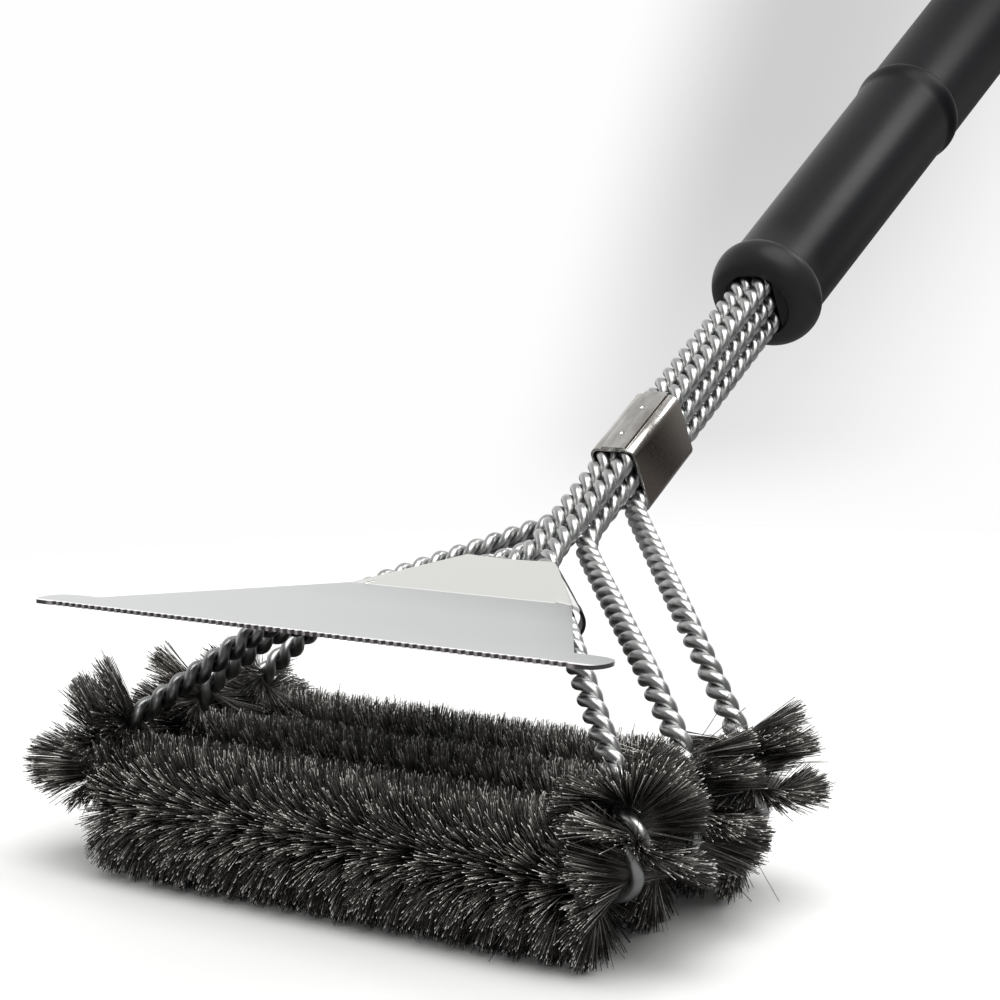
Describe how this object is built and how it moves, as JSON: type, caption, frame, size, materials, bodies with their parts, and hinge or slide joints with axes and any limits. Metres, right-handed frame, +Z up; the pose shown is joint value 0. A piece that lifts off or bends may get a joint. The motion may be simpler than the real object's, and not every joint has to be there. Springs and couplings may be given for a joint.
{
  "type": "grill cleaning brush",
  "caption": "Long-handled grill brush with rows of wire bristles on twisted wire loops, a folded sheet scraper, a bundle clip and a moulded handle.",
  "frame": {"origin": "on the plane that the bristle tips stand on, under the middle of the overall length and width", "axes": "+X along the bristle rows, +Y from the brush head towards the handle's end, +Z up; the handle rises at 29.5 degrees"},
  "size_m": [0.187, 0.4136, 0.2477],
  "materials": {
    "wire": "satin",
    "bristle": "matte",
    "sheet": "satin",
    "clip_sheet": "satin",
    "handle": "matte",
    "core": "matte"
  },
  "bodies": {
    "root": {"front_loop_wire_a": "wire", "front_loop_wire_b": "wire", "middle_loop_wire_a": "wire", "middle_loop_wire_b": "wire", "rear_loop_wire_a": "wire", "rear_loop_wire_b": "wire", "front_row_bristles": "bristle", "front_left_arm_bristles": "bristle", "front_right_arm_bristles": "bristle", "middle_row_bristles": "bristle", "middle_left_arm_bristles": "bristle", "middle_right_arm_bristles": "bristle", "rear_row_bristles": "bristle", "rear_left_arm_bristles": "bristle", "rear_right_arm_bristles": "bristle", "scraper_plate": "sheet", "bundle_clip": "clip_sheet", "handle_collar": "handle", "handle_grip": "handle", "handle_end": "handle", "strand_core": "core"}
  },
  "joints": []
}
